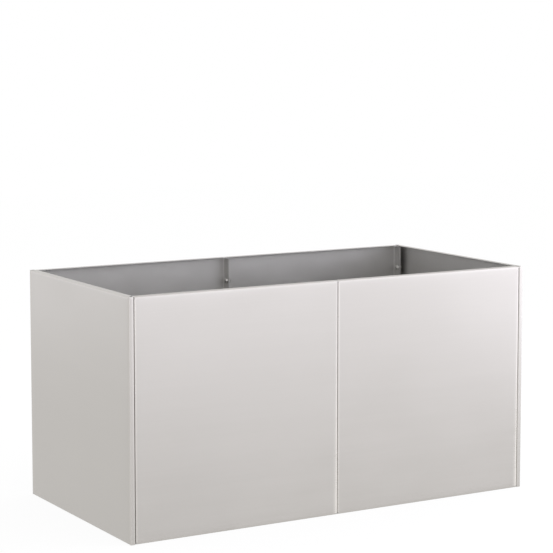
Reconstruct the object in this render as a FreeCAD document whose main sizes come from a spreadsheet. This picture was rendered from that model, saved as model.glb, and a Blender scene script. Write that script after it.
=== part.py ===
"""A rectangular planter of folded stainless sheet, bolted together along its upright seams.

Millimetres, +Z up. X runs along the front, the front faces -Y, and the origin is on the ground
under the middle of the box.
"""
import FreeCAD, Part
import math
import os
import re

import Sketcher

# Driving dimensions: name, value, meaning.
SIZES = [
    ("length", 800, "overall, along the front"),
    ("depth", 406, "overall, front to back"),
    ("height", 410, "overall"),
    ("sheet", 1.2, "thickness of every folded sheet"),
    ("bend_inside", 0.8, "inside radius of a bend"),
    ("corner_inside", 1.8, "inside radius where an end panel wraps a corner"),
    ("corner_strip", 10, "how much of an end panel lies on the front and the back"),
    ("seam_flange", 20, "depth of the upright flanges that are bolted back to back"),
    ("rim_width", 12, "width of the rim folded inwards along the top"),
    ("foot_width", 20, "width of the foot folded inwards along the bottom"),
    ("lip_gap", 0.4, "how far a rim or foot stops short of its panel's side"),
    ("fold_margin", 1, "flat sheet above or below a fold, where its flange is cut free"),
    ("relief_slit", 0.4, "slit that frees a fold from the bend beside it"),
    ("clearance", 1, "side clearance of what drops in or sits beside a flange"),
    ("base_height", 25, "from the foot up to the top of the base"),
    ("drain_hole", 10, "diameter of a drain hole"),
    ("rail_width", 30, "width of the rail under the joint of the base"),
    ("pan_gap", 1, "joint between the two halves of the base"),
    ("tie_height", 30, "height of the cross tie"),
    ("tie_lip", 12, "width of the cross tie's lips"),
    ("bolt_low", 60, "height of the lowest bolt"),
    ("bolt_down", 45, "from the top down to the highest bolt"),
    ("bolt_inset", 12, "from the outer face in to the bolts"),
    ("bolt_shank", 5, "diameter of a bolt"),
    ("bolt_reach", 10, "length of a seam bolt under its head"),
    ("tie_bolt_reach", 12, "length of a tie bolt under its head"),
    ("bolt_head", 9.5, "diameter of a bolt's head"),
    ("bolt_head_height", 2.75, "height of a bolt's head"),
    ("bolt_dome", 2.2, "rounding of a bolt's head"),
    ("bolt_point", 0.6, "chamfer at a bolt's end"),
    ("socket_flats", 3, "across the flats of a bolt's socket"),
    ("socket_depth", 1.6, "depth of a bolt's socket"),
    ("hole_allowance", 0.5, "how much wider a bolt hole is than the bolt"),
    ("thread_gap", 0.1, "how much wider a nut's bore is than the bolt"),
    ("washer_width", 10, "diameter of a washer"),
    ("washer_thickness", 1, "thickness of a washer"),
    ("nut_flats", 8, "across the flats of a nut"),
    ("nut_height", 5, "height of a nut with its flange"),
    ("nut_flange", 11.8, "diameter of a nut's flange"),
    ("nut_flange_height", 1.2, "height of a nut's flange"),
    ("overrun", 2, "how far a cut runs past what it cuts"),
]

# Sizes that follow from the driving ones.
DERIVED = {
    "half_length": "length / 2",
    "half_depth": "depth / 2",
    "bend_outside": "bend_inside + sheet",
    "corner_outside": "corner_inside + sheet",
    "panel_width": "half_length - corner_strip",
    "half_panel": "panel_width / 2",
    "fold_zone": "bend_outside + fold_margin",
    "fold_start": "corner_outside + relief_slit",
    "inner_x": "half_length - sheet - bend_inside - clearance",
    "inner_y": "half_depth - sheet - bend_inside - clearance",
    "flange_free_x": "panel_width - sheet - clearance",
    "flange_free_y": "half_depth - seam_flange - clearance",
    "base_top": "sheet + base_height",
    "rail_half": "rail_width / 2",
    "pan_shoulder": "rail_half + clearance",
    "pan_inner": "pan_gap / 2",
    "tie_bottom": "bolt_middle - tie_height / 2",
    "tie_top": "bolt_middle + tie_height / 2",
    "bolt_high": "height - bolt_down",
    "bolt_middle": "(bolt_low + bolt_high) / 2",
    "bolt_line": "half_depth - bolt_inset",
    "hole_radius": "(bolt_shank + hole_allowance) / 2",
    "shank_radius": "bolt_shank / 2",
    "bore_radius": "(bolt_shank + thread_gap) / 2",
    "head_radius": "bolt_head / 2",
    "under_head": "sheet + washer_thickness",
    "head_top": "under_head + bolt_head_height",
    "nut_end": "sheet + nut_height",
    "nut_corner": "nut_flats / sqrt(3)",
}
NAME = re.compile(r"[a-z][a-z_]*\b(?!\()")
BOLT_LEVELS = ("bolt_low", "bolt_middle", "bolt_high")
DRAIN_ALONG_SHARES = (0.15, 0.5, 0.85)
DRAIN_ACROSS_SHARES = (-0.6, 0, 0.6)

doc = FreeCAD.newDocument("planter")


def fill_sheet():
    """Writes the driving dimensions into the sheet, one to a row."""
    sizes = doc.addObject("Spreadsheet::Sheet", "Sizes")
    for row, (name, number, meaning) in enumerate(SIZES, 1):
        sizes.set("A%d" % row, name)
        sizes.set("B%d" % row, str(number))
        sizes.set("C%d" % row, meaning)
        sizes.setAlias("B%d" % row, name)
    doc.recompute()


def expand(text):
    """Turns an expression in plain size names into one that reads the sheet."""
    def one(match):
        name = match.group()
        return "(%s)" % expand(DERIVED[name]) if name in DERIVED else "Sizes." + name
    return NAME.sub(one, text)


def new_body(name):
    body = doc.addObject("PartDesign::Body", name)
    body.Label = name
    return body


def origin_part(body, role):
    """The body's own origin plane or axis."""
    return next(part for part in body.Origin.OriginFeatures if part.Role == role)


def sketch_on(body, name, role, lift="0"):
    """A sketch on one of the body's own origin planes, lifted along that plane's normal."""
    sketch = body.newObject("Sketcher::SketchObject", body.Name + "_" + name)
    sketch.AttachmentSupport = [(origin_part(body, role), "")]
    sketch.MapMode = "FlatFace"
    sketch.setExpression("AttachmentOffset.Base.z", expand(lift))
    return sketch


def number(sketch, text):
    return float(sketch.evalExpression(expand(text)))


def fix(sketch, kind, geometry, end, text):
    """Holds one coordinate of a point at an expression, measured from the sketch's origin."""
    rule = Sketcher.Constraint(kind, -1, 1, geometry, end, number(sketch, text))
    index = sketch.addConstraint(rule)
    sketch.setExpression("Constraints[%d]" % index, expand(text))


def set_radius(sketch, geometry, text):
    index = sketch.addConstraint(Sketcher.Constraint("Radius", geometry, number(sketch, text)))
    sketch.setExpression("Constraints[%d]" % index, expand(text))


def outline(sketch, corners):
    """Closes an outline of level and upright lines in turn.

    A corner is (across, up) when it is sharp, and (across, up, radius) when an arc rounds it.
    """
    places = [FreeCAD.Vector(number(sketch, c[0]), number(sketch, c[1]), 0) for c in corners]
    radii = [number(sketch, c[2]) if len(c) > 2 else 0 for c in corners]
    following = places[1:] + places[:1]
    ways = [(after - before).normalize() for before, after in zip(places, following)]
    lines = []
    for i, way in enumerate(ways):
        start = places[i] + way * radii[i]
        end = following[i] - way * radii[(i + 1) % len(corners)]
        line = sketch.addGeometry(Part.LineSegment(start, end))
        level = abs(way.x) > abs(way.y)
        sketch.addConstraint(Sketcher.Constraint("Horizontal" if level else "Vertical", line))
        if level:
            fix(sketch, "DistanceY", line, 1, corners[i][1])
        else:
            fix(sketch, "DistanceX", line, 1, corners[i][0])
        lines.append(line)
    for i, corner in enumerate(corners):
        if not radii[i]:
            sketch.addConstraint(Sketcher.Constraint("Coincident", lines[i - 1], 2, lines[i], 1))
            continue
        centre = places[i] + (ways[i] - ways[i - 1]) * radii[i]
        begin = math.atan2(-ways[i].y, -ways[i].x)
        finish = math.atan2(ways[i - 1].y, ways[i - 1].x)
        left_turn = ways[i - 1].cross(ways[i]).z > 0
        first, last = (begin, finish) if left_turn else (finish, begin)
        if last < first:
            last += 2 * math.pi
        ring = Part.Circle(centre, FreeCAD.Vector(0, 0, 1), radii[i])
        arc = sketch.addGeometry(Part.ArcOfCircle(ring, first, last))
        near, far = (1, 2) if left_turn else (2, 1)
        sketch.addConstraint(Sketcher.Constraint("Tangent", lines[i - 1], 2, arc, near))
        sketch.addConstraint(Sketcher.Constraint("Tangent", arc, far, lines[i], 1))
        set_radius(sketch, arc, corner[2])


def polygon(sketch, points):
    """Closes a polygon of (across, up) points."""
    places = [FreeCAD.Vector(number(sketch, p[0]), number(sketch, p[1]), 0) for p in points]
    lines = [sketch.addGeometry(Part.LineSegment(places[i - 1], places[i]))
             for i in range(len(points))]
    for i, line in enumerate(lines):
        sketch.addConstraint(Sketcher.Constraint("Coincident", lines[i - 1], 2, line, 1))
        fix(sketch, "DistanceX", line, 2, points[i][0])
        fix(sketch, "DistanceY", line, 2, points[i][1])


def rectangle(sketch, left, low, right, high):
    outline(sketch, [(left, low), (right, low), (right, high), (left, high)])


def circle(sketch, across, up, radius):
    centre = FreeCAD.Vector(number(sketch, across), number(sketch, up), 0)
    ring = Part.Circle(centre, FreeCAD.Vector(0, 0, 1), number(sketch, radius))
    index = sketch.addGeometry(ring)
    fix(sketch, "DistanceX", index, 3, across)
    fix(sketch, "DistanceY", index, 3, up)
    set_radius(sketch, index, radius)


def hexagon(sketch, flats):
    """A hexagon round the sketch's origin, with two flats upright."""
    side = "(%s) / 2" % flats
    shoulder = "(%s) / (2 * sqrt(3))" % flats
    point = "(%s) / sqrt(3)" % flats
    polygon(sketch, [(side, shoulder), ("0", point), ("-" + side, shoulder),
                     ("-" + side, "-" + shoulder), ("0", "-" + point), (side, "-" + shoulder)])


def pad(body, sketch, reach, both_ways=False):
    """Adds the sketch's area along its normal, or as far each way from its plane."""
    feature = body.newObject("PartDesign::Pad", sketch.Name + "_pad")
    feature.Profile = sketch
    feature.SideType = "Symmetric" if both_ways else "One side"
    feature.setExpression("Length", expand(("2 * (%s)" if both_ways else "%s") % reach))
    doc.recompute()
    return feature


def cut(body, sketch, reach):
    """Removes the sketch's area as far each way from its plane, and checks that it cut."""
    before = body.Shape.Volume
    feature = body.newObject("PartDesign::Pocket", sketch.Name + "_cut")
    feature.Profile = sketch
    feature.SideType = "Symmetric"
    feature.setExpression("Length", expand("2 * (%s)" % reach))
    doc.recompute()
    if not body.Shape.Volume < before:
        raise ValueError("%s cuts nothing" % feature.Name)
    return feature


def turn(body, kind, sketch):
    """A Revolution or a Groove round the sketch's level axis."""
    feature = body.newObject("PartDesign::" + kind, sketch.Name + "_turn")
    feature.Profile = sketch
    feature.ReferenceAxis = (sketch, ["H_Axis"])
    feature.Angle = 360
    doc.recompute()
    return feature


def repeat(body, role, reach, count):
    """Repeats the whole body in a row along one of its own axes."""
    feature = body.newObject("PartDesign::LinearPattern", body.Name + "_row")
    feature.TransformMode = "Whole shape"
    feature.Direction = (origin_part(body, role), [""])
    feature.setExpression("Length", expand(reach))
    feature.Occurrences = count
    body.Tip = feature
    doc.recompute()


def place(body, across="0", along="0", up="0", angle=0):
    body.Placement = FreeCAD.Placement(
        FreeCAD.Vector(), FreeCAD.Rotation(FreeCAD.Vector(0, 0, 1), angle))
    for letter, text in zip("xyz", (across, along, up)):
        body.setExpression("Placement.Base." + letter, expand(text))


def fold_section(width, level, way, reach="fold_zone"):
    """The section of an inward fold: across from the outer face, and up.

    level is the height of the panel's edge, and way is 1 where the sheet lies above it, at a
    foot, and -1 where it lies below it, at the rim. reach is how far back from that edge the
    section starts.
    """
    start = "%s + %d * (%s)" % (level, way, reach)
    inner = "%s + %d * sheet" % (level, way)
    return [("0", start), ("0", level, "bend_outside"), (width, level), (width, inner),
            ("sheet", inner, "bend_inside"), ("sheet", start)]


# The edges of a panel that are folded inwards: name, height, width, and the way to the sheet.
FOLDS = (("rim", "height", "rim_width", -1), ("foot", "0", "foot_width", 1))


def wall_panel(name):
    """Half of a long wall, its outer face on y = 0 and its inside towards +y.

    The sheet is folded inwards along all four edges: two upright seam flanges with bolt holes, a
    rim along the top and a foot along the bottom. The flanges stop short of the rim and foot,
    which run on over them to the seam. A slit at each end frees them from the upright bends.
    """
    body = new_body(name)
    section = sketch_on(body, "section", "XY_Plane")
    outline(section, [
        ("-half_panel", "seam_flange"), ("-half_panel", "0", "bend_outside"),
        ("half_panel", "0", "bend_outside"), ("half_panel", "seam_flange"),
        ("half_panel - sheet", "seam_flange"), ("half_panel - sheet", "sheet", "bend_inside"),
        ("sheet - half_panel", "sheet", "bend_inside"), ("sheet - half_panel", "seam_flange")])
    pad(body, section, "height")
    for fold, level, width, way in FOLDS:
        edge = sketch_on(body, fold + "_edge", "XY_Plane", level)
        rectangle(edge, "-half_panel - overrun", "-overrun",
                  "half_panel + overrun", "seam_flange + overrun")
        cut(body, edge, "fold_zone")
        neck = sketch_on(body, fold + "_neck", "YZ_Plane")
        rectangle(neck, "0", "%s + %d * fold_zone" % (level, way),
                  "sheet", "%s + %d * bend_outside" % (level, way))
        pad(body, neck, "half_panel - bend_outside", both_ways=True)
        bent = sketch_on(body, fold, "YZ_Plane")
        outline(bent, fold_section(width, level, way, "fold_zone - relief_slit"))
        pad(body, bent, "half_panel - lip_gap", both_ways=True)
    holes = sketch_on(body, "holes", "YZ_Plane")
    for level in BOLT_LEVELS:
        circle(holes, "bolt_inset", level, "hole_radius")
    cut(body, holes, "half_panel + overrun")
    return body


def end_panel(name):
    """An end wall, its outer face on x = 0 and its inside towards +x.

    The sheet wraps both corners with a rounder bend, lies on the long wall for a narrow strip and
    is folded in again as the seam flange that the wall panel is bolted to. Slits free the rim and
    the foot from the corner bends, and their ends are cut back clear of the wall panels'.
    """
    body = new_body(name)
    section = sketch_on(body, "section", "XY_Plane")
    outline(section, [
        ("corner_strip", "seam_flange - half_depth"),
        ("corner_strip", "-half_depth", "bend_outside"), ("0", "-half_depth", "corner_outside"),
        ("0", "half_depth", "corner_outside"), ("corner_strip", "half_depth", "bend_outside"),
        ("corner_strip", "half_depth - seam_flange"),
        ("corner_strip - sheet", "half_depth - seam_flange"),
        ("corner_strip - sheet", "half_depth - sheet", "bend_inside"),
        ("sheet", "half_depth - sheet", "corner_inside"),
        ("sheet", "sheet - half_depth", "corner_inside"),
        ("corner_strip - sheet", "sheet - half_depth", "bend_inside"),
        ("corner_strip - sheet", "seam_flange - half_depth")])
    pad(body, section, "height")
    for fold, level, width, way in FOLDS:
        edge = sketch_on(body, fold + "_edge", "XY_Plane", level)
        rectangle(edge, "-overrun", "corner_outside - half_depth",
                  "corner_strip + overrun", "half_depth - corner_outside")
        cut(body, edge, "fold_zone")
        bent = sketch_on(body, fold, "XZ_Plane")
        outline(bent, fold_section(width, level, way))
        pad(body, bent, "half_depth - fold_start", both_ways=True)
        ends = sketch_on(body, fold + "_ends", "XY_Plane", level)
        for side in ("-", ""):
            near = side + "(half_depth - fold_start)"
            far = side + "(half_depth - %s - clearance)" % width
            past = side + "half_depth"
            polygon(ends, [("bend_outside", past), ("bend_outside", near),
                           ("corner_strip", far), (width + " + overrun", far),
                           (width + " + overrun", past)])
        cut(body, ends, "fold_zone - fold_margin")
    holes = sketch_on(body, "holes", "YZ_Plane", "corner_strip")
    for side in ("-", ""):
        for level in BOLT_LEVELS:
            circle(holes, side + "bolt_line", level, "hole_radius")
    cut(body, holes, "2 * sheet")
    return body


def base_pan(name):
    """Half of the base, from the middle towards +x.

    The edges at the end and at both sides are turned down and stand on the panels' feet. The
    middle edge is flat and lies on the rail. The corners are notched round the seam flanges, and
    the holes drain into the space below.
    """
    body = new_body(name)
    outer = sketch_on(body, "end", "XZ_Plane")
    outline(outer, [
        ("pan_inner", "base_height"), ("pan_inner", "base_top"),
        ("inner_x", "base_top", "bend_outside"), ("inner_x", "sheet"),
        ("inner_x - sheet", "sheet"), ("inner_x - sheet", "base_height", "bend_inside")])
    pad(body, outer, "flange_free_y", both_ways=True)
    sides = sketch_on(body, "sides", "YZ_Plane", "pan_shoulder")
    outline(sides, [
        ("-inner_y", "sheet"), ("-inner_y", "base_top", "bend_outside"),
        ("inner_y", "base_top", "bend_outside"), ("inner_y", "sheet"),
        ("inner_y - sheet", "sheet"), ("inner_y - sheet", "base_height", "bend_inside"),
        ("sheet - inner_y", "base_height", "bend_inside"), ("sheet - inner_y", "sheet")])
    pad(body, sides, "flange_free_x - pan_shoulder")
    drains = sketch_on(body, "drains", "XY_Plane", "base_top")
    for along in DRAIN_ALONG_SHARES:
        for across in DRAIN_ACROSS_SHARES:
            circle(drains, "inner_x * %s" % along, "inner_y * %s" % across, "drain_hole / 2")
    cut(body, drains, "2 * sheet")
    return body


def base_rail(name):
    """A channel, open downwards, that stands on the feet under the joint of the base.

    Its top is slotted at both ends and straddles the middle seam's flanges.
    """
    body = new_body(name)
    section = sketch_on(body, "section", "XZ_Plane")
    outline(section, [
        ("-rail_half", "sheet"), ("-rail_half", "base_height", "bend_outside"),
        ("rail_half", "base_height", "bend_outside"), ("rail_half", "sheet"),
        ("rail_half - sheet", "sheet"),
        ("rail_half - sheet", "base_height - sheet", "bend_inside"),
        ("sheet - rail_half", "base_height - sheet", "bend_inside"),
        ("sheet - rail_half", "sheet")])
    pad(body, section, "inner_y", both_ways=True)
    slots = sketch_on(body, "slots", "XY_Plane", "base_height")
    rectangle(slots, "-sheet - clearance", "-inner_y - overrun",
              "sheet + clearance", "-flange_free_y")
    rectangle(slots, "-sheet - clearance", "flange_free_y",
              "sheet + clearance", "inner_y + overrun")
    cut(body, slots, "2 * sheet")
    return body


def cross_tie(name):
    """A channel on edge from the front middle seam to the back one, against their flanges."""
    body = new_body(name)
    section = sketch_on(body, "section", "XZ_Plane")
    outline(section, [
        ("sheet", "tie_bottom", "bend_outside"), ("sheet + tie_lip", "tie_bottom"),
        ("sheet + tie_lip", "tie_bottom + sheet"),
        ("2 * sheet", "tie_bottom + sheet", "bend_inside"),
        ("2 * sheet", "tie_top - sheet", "bend_inside"),
        ("sheet + tie_lip", "tie_top - sheet"), ("sheet + tie_lip", "tie_top"),
        ("sheet", "tie_top", "bend_outside")])
    pad(body, section, "inner_y", both_ways=True)
    holes = sketch_on(body, "holes", "YZ_Plane")
    for side in ("-", ""):
        circle(holes, side + "bolt_line", "bolt_middle", "hole_radius")
    cut(body, holes, "sheet + tie_lip")
    return body


def bolt(body, reach):
    """A button-head bolt along +x. The seam that it closes is at x = 0, its head at -x."""
    tip = reach + " - under_head"
    profile = sketch_on(body, "profile", "XZ_Plane")
    polygon(profile, [
        ("-head_top", "0"), ("-head_top", "head_radius"), ("-under_head", "head_radius"),
        ("-under_head", "shank_radius"), (tip + " - bolt_point", "shank_radius"),
        (tip, "shank_radius - bolt_point"), (tip, "0")])
    turned = turn(body, "Revolution", profile)
    crown = [i for i, edge in enumerate(turned.Shape.Edges, 1)
             if is_ring(edge, -number(profile, "head_top"), number(profile, "head_radius"))]
    dome = body.newObject("PartDesign::Fillet", body.Name + "_dome")
    dome.Base = (turned, ["Edge%d" % i for i in crown])
    dome.setExpression("Radius", expand("bolt_dome"))
    doc.recompute()
    socket = sketch_on(body, "socket", "YZ_Plane", "-head_top")
    hexagon(socket, "socket_flats")
    cut(body, socket, "socket_depth")


def is_ring(edge, across, radius):
    """Whether an edge is a full circle of that radius, at that x."""
    tight = 1e-6
    return (isinstance(edge.Curve, Part.Circle) and edge.isClosed()
            and abs(edge.Curve.Radius - radius) < tight
            and abs(edge.Curve.Center.x - across) < tight)


def washer(body):
    """A flat washer between the head and the first flange."""
    ring = sketch_on(body, "ring", "YZ_Plane", "-under_head")
    circle(ring, "0", "0", "washer_width / 2")
    circle(ring, "0", "0", "hole_radius")
    pad(body, ring, "washer_thickness")


def nut(body, seat):
    """A hexagon nut with a flange, its flange against the sheet at x = seat."""
    flange = sketch_on(body, "flange", "YZ_Plane", seat)
    circle(flange, "0", "0", "nut_flange / 2")
    circle(flange, "0", "0", "bore_radius")
    pad(body, flange, "nut_flange_height")
    prism = sketch_on(body, "prism", "YZ_Plane", seat)
    hexagon(prism, "nut_flats")
    circle(prism, "0", "0", "bore_radius")
    pad(body, prism, "nut_height")
    end = seat + " + nut_height"
    reach = "(nut_corner - nut_flats / 2 + overrun)"
    chamfer = sketch_on(body, "chamfer", "XZ_Plane")
    polygon(chamfer, [
        (end, "nut_flats / 2"), (end + " + overrun", "nut_flats / 2"),
        (end + " + overrun", "nut_flats / 2 + " + reach),
        (end + " - %s / sqrt(3)" % reach, "nut_flats / 2 + " + reach)])
    turn(body, "Groove", chamfer)


def fastener_set(seam, make_row, reach, seat, spot):
    """The bolts, washers and nuts of one seam, each kind a node of separate solids."""
    kinds = (("bolts", lambda body: bolt(body, reach)), ("washers", washer),
             ("nuts", lambda body: nut(body, seat)))
    for kind, make in kinds:
        body = new_body(seam + "_" + kind)
        make(body)
        make_row(body)
        place(body, *spot)


def build():
    """Makes every sub-part and puts it in its place."""
    fill_sheet()
    for side, x in (("left", "-half_panel"), ("right", "half_panel")):
        place(wall_panel("front_panel_" + side), x, "-half_depth")
        place(wall_panel("back_panel_" + side), x, "half_depth", angle=180)
    place(end_panel("end_panel_left"), "-half_length")
    place(end_panel("end_panel_right"), "half_length", angle=180)
    place(base_pan("base_pan_left"), angle=180)
    place(base_pan("base_pan_right"))
    place(base_rail("base_rail"))
    place(cross_tie("cross_tie"))

    rise = "bolt_high - bolt_low"
    for face, y in (("front", "-bolt_line"), ("back", "bolt_line")):
        for seam, x, count, angle in (("left_corner", "-panel_width", 3, 180),
                                      ("middle", "0", 2, 0),
                                      ("right_corner", "panel_width", 3, 0)):
            fastener_set(face + "_" + seam,
                         lambda body: repeat(body, "Z_Axis", rise, count),
                         "bolt_reach", "sheet", (x, y, "bolt_low", angle))
    fastener_set("tie", lambda body: repeat(body, "Y_Axis", "2 * bolt_line", 2),
                 "tie_bolt_reach", "2 * sheet", ("0", "-bolt_line", "bolt_middle", 0))


def check():
    """Stops unless every object is sound and every sub-part is a valid shape."""
    doc.recompute()
    for item in doc.Objects:
        if {"Invalid", "Error"} & set(item.State):
            raise ValueError("%s failed: %s" % (item.Name, item.State))
    for body in bodies():
        if body.Shape.isNull() or not body.Shape.isValid():
            raise ValueError("%s has no valid shape" % body.Label)


def bodies():
    return [item for item in doc.Objects if item.TypeId == "PartDesign::Body"]


def write():
    os.makedirs("parts", exist_ok=True)
    for body in bodies():
        body.Shape.exportStep(os.path.join("parts", body.Label + ".step"))
        print("%-28s %2d solids %10.1f mm3" % (
            body.Label, len(body.Shape.Solids), body.Shape.Volume))


build()
check()
write()
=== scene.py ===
# %% [markdown]
# # A planter folded from stainless sheet
#
# The real box is made the way a tin smith makes a tray: six flat blanks are cut, their edges are folded in
# on a press brake, and the panels are bolted together along upright flanges on the inside. Nothing shows
# outside except thin seams. This lesson first makes tools that fold and cut a blank, then the finishes, and
# then the pieces in the order of the workshop: panels, base, tie and fasteners. The light comes last.
#
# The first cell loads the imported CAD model. It is the fixed frame: every new piece stands exactly where
# its CAD piece is.

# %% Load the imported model
import math
import bpy
import numpy as np
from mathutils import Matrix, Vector


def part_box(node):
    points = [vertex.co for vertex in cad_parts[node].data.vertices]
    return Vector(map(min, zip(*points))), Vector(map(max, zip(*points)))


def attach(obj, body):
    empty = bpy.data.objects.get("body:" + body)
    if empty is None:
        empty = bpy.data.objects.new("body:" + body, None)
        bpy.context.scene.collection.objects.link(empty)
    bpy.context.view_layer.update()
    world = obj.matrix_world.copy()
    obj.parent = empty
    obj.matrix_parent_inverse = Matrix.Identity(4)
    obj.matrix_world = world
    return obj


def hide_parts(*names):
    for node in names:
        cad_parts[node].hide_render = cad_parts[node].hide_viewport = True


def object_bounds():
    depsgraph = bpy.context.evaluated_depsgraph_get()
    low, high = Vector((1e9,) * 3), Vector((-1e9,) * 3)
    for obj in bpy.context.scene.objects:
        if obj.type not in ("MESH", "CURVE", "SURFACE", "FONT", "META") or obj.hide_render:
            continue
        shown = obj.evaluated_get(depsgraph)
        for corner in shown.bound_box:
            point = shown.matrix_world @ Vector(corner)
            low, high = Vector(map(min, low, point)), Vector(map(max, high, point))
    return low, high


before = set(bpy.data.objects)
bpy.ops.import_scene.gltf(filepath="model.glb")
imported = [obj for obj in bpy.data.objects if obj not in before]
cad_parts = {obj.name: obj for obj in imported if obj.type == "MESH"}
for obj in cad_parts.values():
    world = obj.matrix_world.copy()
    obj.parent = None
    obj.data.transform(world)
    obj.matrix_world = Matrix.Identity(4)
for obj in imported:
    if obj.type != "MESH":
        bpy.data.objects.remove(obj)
cad_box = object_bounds()
print("CAD pieces:", len(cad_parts))
print("CAD box in mm:", [[round(c * 1000, 1) for c in corner] for corner in cad_box])

# %% [markdown]
# ## Sizes of the sheet and its folds
#
# All lengths are in millimetres, as in a workshop drawing, and become metres when a mesh is written. The
# overall sizes come from the frame. The rest repeats the drawing: 1.2 mm sheet, tight bends, and a rounder
# bend where an end panel wraps round a corner of the box.

# %% Sizes
MM = 0.001
LENGTH, DEPTH, HEIGHT = (round((high - low) / MM, 3) for low, high in zip(*cad_box))
SHEET = 1.2
BEND = 2.0                    # outside radius of a bend
CORNER_BEND = 3.0             # outside radius where an end panel wraps a corner
CORNER_STRIP = 10.0           # how much of an end panel lies on the long wall
SEAM_FLANGE = 20.0
RIM, FOOT = 12.0, 20.0        # widths of the folds along the top and the bottom
FOLD_ZONE = 3.0               # a seam flange stops this far from the top and the bottom
FLANGE_LOW, FLANGE_HIGH = FOLD_ZONE, HEIGHT - FOLD_ZONE
RELIEF_SLIT = 0.4             # a slit that frees a fold from the bend beside it
BOLT_HOLE = 2.75              # radius
BOLT_INSET = 12.0             # from the outer face in to the bolts
LOWEST_BOLT, HIGHEST_BOLT = 60.0, HEIGHT - 45.0
BOLT_LEVELS = (LOWEST_BOLT, (LOWEST_BOLT + HIGHEST_BOLT) / 2, HIGHEST_BOLT)
HALF_WALL = LENGTH / 2 - CORNER_STRIP
print("overall", LENGTH, DEPTH, HEIGHT, "one wall panel", HALF_WALL, "wide")

# %% [markdown]
# ## A folded section
#
# A fold doesn't stretch the outer face much, so a folded section can be thought of as a straight line that
# is rolled round a few quarter circles. Given a distance along that line and a depth into the sheet, this
# function says where the point ends up. A Bevel modifier on a thin box could round the corners too, but then
# the grain of the finish would not follow the sheet round the bend, and here it does.
#
# A press brake also pulls the sheet in a little beside each bend, more so beside a round one. That soft roll
# is only a fraction of a millimetre deep, but steel shows it as a lighter or darker line along the fold.
# The section also tells how strongly each place along a bend gets a painted highlight, a lighter colour, and
# a polish, a lower roughness.

# %% Fold a line
STEPS = 8                     # facets round a quarter bend
SUPPORTS = np.array([0.6, 1.4, 2.6, 4.2])      # extra lines beside a bend, where the sheet rolls into it
DRAW_REACH = 6.0              # how far from a bend the sheet is still drawn in
DRAW_DEPTH = 0.07             # how deep, for each square millimetre of the bend's radius squared
HIGHLIGHT_REACH = 3.0               # how far from a bend the painted highlight and the polish still reach


def folded_line(corners, radii):
    """Rolls a straight line round quarter circles, and gives the functions that describe the result.

    Straight runs join the corners, and each inner corner is rounded with its radius. On a run,
    place = start + heading * s + inward * depth. On a bend the heading turns by s / radius towards the
    inside, so place = start + heading * (radius - depth) * sin(turn)
    + inward * (radius - (radius - depth) * cos(turn)).
    """
    corners, radii = np.array(corners, float), [0.0, *radii, 0.0]
    steps = np.diff(corners, axis=0)
    lengths = np.hypot(*steps.T)
    headings = steps / lengths[:, None]
    side = np.sign(headings[0, 0] * headings[1, 1] - headings[0, 1] * headings[1, 0])
    runs = []
    for i, heading in enumerate(headings):
        if i:
            runs.append((corners[i] - headings[i - 1] * radii[i], headings[i - 1],
                         radii[i] * math.pi / 2, radii[i]))
        runs.append((corners[i] + heading * radii[i], heading,
                     lengths[i] - radii[i] - radii[i + 1], 0.0))
    starts, ways, reaches, rounds = (np.array(column) for column in zip(*runs))
    begins = np.cumsum(reaches) - reaches
    inwards = side * np.stack([-ways[:, 1], ways[:, 0]], axis=1)
    bends = [(b, b + r, radius) for b, r, radius in zip(begins, reaches, rounds) if radius]

    def place(s, depth):
        run = np.clip(np.searchsorted(begins, s, side="right") - 1, 0, None)
        radius, gone = rounds[run], s - begins[run]
        bent = radius > 0
        turn = np.where(bent, gone / np.where(bent, radius, 1), 0)
        along = np.where(bent, (radius - depth) * np.sin(turn), gone)
        across = np.where(bent, radius - (radius - depth) * np.cos(turn), depth)
        return starts[run] + along[:, None] * ways[run] + across[:, None] * inwards[run]

    def beside(s, reach):
        """For each bend: 1 inside it, and (1 - distance / reach) ** 2 beside it."""
        return [np.clip(1 - np.maximum(np.maximum(a - s, s - b), 0) / reach, 0, 1) ** 2
                for a, b, _ in bends]

    def highlight_and_polish(s):
        """How much painted highlight and polish the sheet gets: (BEND / radius) ** 2 in a bend, fading out
        beside it.
        """
        return np.max([near * (BEND / radius) ** 2
                       for near, (_, _, radius) in zip(beside(s, HIGHLIGHT_REACH), bends)], axis=0)

    def drawn(s):
        """How far the sheet is drawn in: the sum over bends of DRAW_DEPTH * radius ** 2 * nearness."""
        return sum(DRAW_DEPTH * radius ** 2 * near
                   for near, (_, _, radius) in zip(beside(s, DRAW_REACH), bends))

    edges = np.array([0, *[end for bend in bends for end in bend[:2]], reaches.sum()])
    facets = np.concatenate([[*(a - SUPPORTS), *np.linspace(a, b, STEPS + 1), *(b + SUPPORTS)]
                             for a, b, _ in bends])
    return {"place": place, "beside": beside, "highlight_and_polish": highlight_and_polish, "drawn": drawn, "edges": edges,
            "facets": facets, "reach": reaches.sum()}


wall_section = folded_line([(-HALF_WALL / 2, SEAM_FLANGE), (-HALF_WALL / 2, 0), (HALF_WALL / 2, 0),
                            (HALF_WALL / 2, SEAM_FLANGE)], [BEND, BEND])
upright_section = folded_line([(RIM, HEIGHT), (0, HEIGHT), (0, 0), (FOOT, 0)], [BEND, BEND])
print("a wall panel's blank is %.1f x %.1f mm" % (wall_section["reach"], upright_section["reach"]))

# %% [markdown]
# ## Grid lines
#
# The mesh of a blank is a grid. Some lines are needed, because an edge, a bend or a cut lies there. Others
# are only wished for, to round a bend well, and the rest of the sheet is filled evenly. Even lines alone
# would be simpler, but would cut across the bends and holes.

# %% Space the grid lines
EASING = 0.15                 # how far a cut edge is dulled
FACE_GAP = 14.0               # spacing of grid lines on a large face
BOLT_BLOCK = 5                # half the square of grid cells that makes room for a bolt hole


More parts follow.
